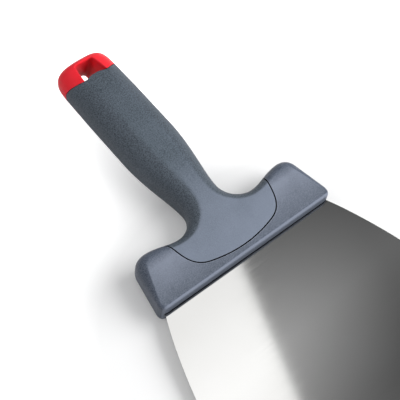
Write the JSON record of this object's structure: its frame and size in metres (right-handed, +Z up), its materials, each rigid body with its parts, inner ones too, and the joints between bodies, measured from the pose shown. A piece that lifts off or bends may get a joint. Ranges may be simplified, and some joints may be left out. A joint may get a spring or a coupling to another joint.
{
  "type": "chocolate scraper",
  "caption": "Hand scraper for chocolate: a fan-shaped flexible steel blade held in a wedge-shaped crossbar, with a soft grip footed in the crossbar and a red hanging loop.",
  "frame": {"origin": "centre of the bounding box, in the blade's mid plane", "axes": "+Y along the handle towards the hanging loop, +X across the blade, +Z up out of the blade's face"},
  "size_m": [0.152, 0.237, 0.0244],
  "materials": {
    "blade_steel": "satin, fine grind lines",
    "crossbar_plastic": "smooth moulded satin",
    "core_plastic": "as moulded, hidden",
    "soft_grip": "soft touch with a fine grain",
    "red_plastic": "glossy moulded"
  },
  "bodies": {
    "root": {"blade": "blade_steel", "blade_holder": "crossbar_plastic", "handle_core": "core_plastic", "grip": "soft_grip", "hanging_cap": "red_plastic"}
  },
  "joints": []
}
